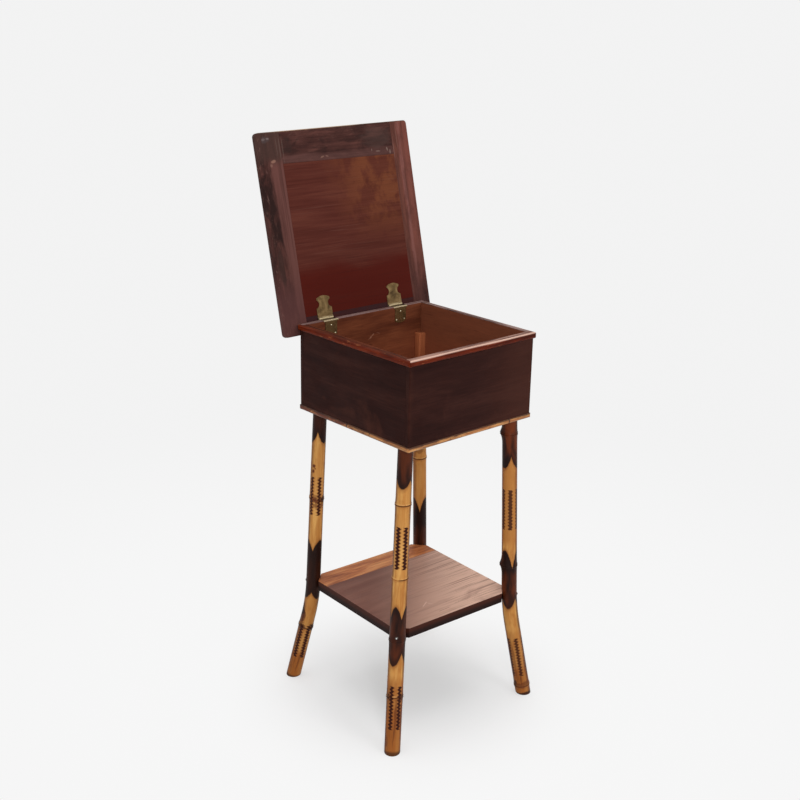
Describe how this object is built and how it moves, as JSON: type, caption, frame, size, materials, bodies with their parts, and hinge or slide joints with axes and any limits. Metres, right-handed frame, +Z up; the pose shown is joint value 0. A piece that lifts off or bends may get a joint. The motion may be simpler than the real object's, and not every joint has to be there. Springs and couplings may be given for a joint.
{
  "type": "sewing box on a stand",
  "caption": "Square wooden sewing box with a hinged lid, carried on splayed bamboo legs with scorched decoration and a low shelf between them.",
  "frame": {"origin": "the middle of the stand on the floor, straight under the centre of the box", "axes": "+X to the right, +Y to the back where the lid is hinged, +Z up; the lid is stored open"},
  "size_m": [0.3849, 0.4403, 1.0905],
  "materials": {
    "box_outside": "dark stained mahogany, satin varnish, plain and very dark outside",
    "box_inside": "red-brown stained wood, satin",
    "rim_moulding": "red-brown moulding worn to bare wood along its top, satin",
    "post_wood": "orange-brown softwood, matt",
    "bamboo": "varnished bamboo with scorched dark flames, rings and zigzag lines, glossy",
    "dowel_wood": "turned hardwood, matt",
    "shelf_wood": "faded grey-brown mahogany, worn satin varnish",
    "shelf_back_wood": "orange-brown mahogany, worn satin varnish",
    "lid_frame": "purple-brown mahogany, worn satin varnish",
    "lid_panel_wood": "red mahogany with fine level grain, satin varnish",
    "brass": "aged brass, dull",
    "screw_steel": "old iron, dark"
  },
  "bodies": {
    "stand": {"base_bead_back": "bamboo", "base_bead_front": "bamboo", "base_bead_left": "bamboo", "base_bead_right": "bamboo", "box_back": "box_outside", "box_bottom": "box_inside", "box_front": "box_outside", "box_leaf_left": "brass", "box_leaf_nails": "brass", "box_leaf_right": "brass", "box_left": "box_outside", "box_right": "box_outside", "hinge_pin_left": "brass", "hinge_pin_right": "brass", "leg_back_left": "bamboo", "leg_back_right": "bamboo", "leg_dowels": "dowel_wood", "leg_front_left": "bamboo", "leg_front_right": "bamboo", "post_back_left": "post_wood", "post_back_right": "post_wood", "post_front_left": "post_wood", "post_front_right": "post_wood", "rim_back": "rim_moulding", "rim_front": "rim_moulding", "rim_left": "rim_moulding", "rim_right": "rim_moulding", "shelf_back_board": "shelf_back_wood", "shelf_board": "shelf_wood", "shelf_screws": "screw_steel"},
    "lid": {"lid_leaf_left": "brass", "lid_leaf_nails": "brass", "lid_leaf_right": "brass", "lid_panel": "lid_panel_wood", "lid_rail_back": "lid_frame", "lid_rail_front": "lid_frame", "lid_stile_left": "lid_frame", "lid_stile_right": "lid_frame"}
  },
  "joints": [
    {"name": "lid_hinge", "type": "hinge", "parent": "stand", "child": "lid", "pos_m": [0, 0.15832, 0.7451], "axis": [1, 0, 0], "range_deg": [0, 103.5]}
  ]
}
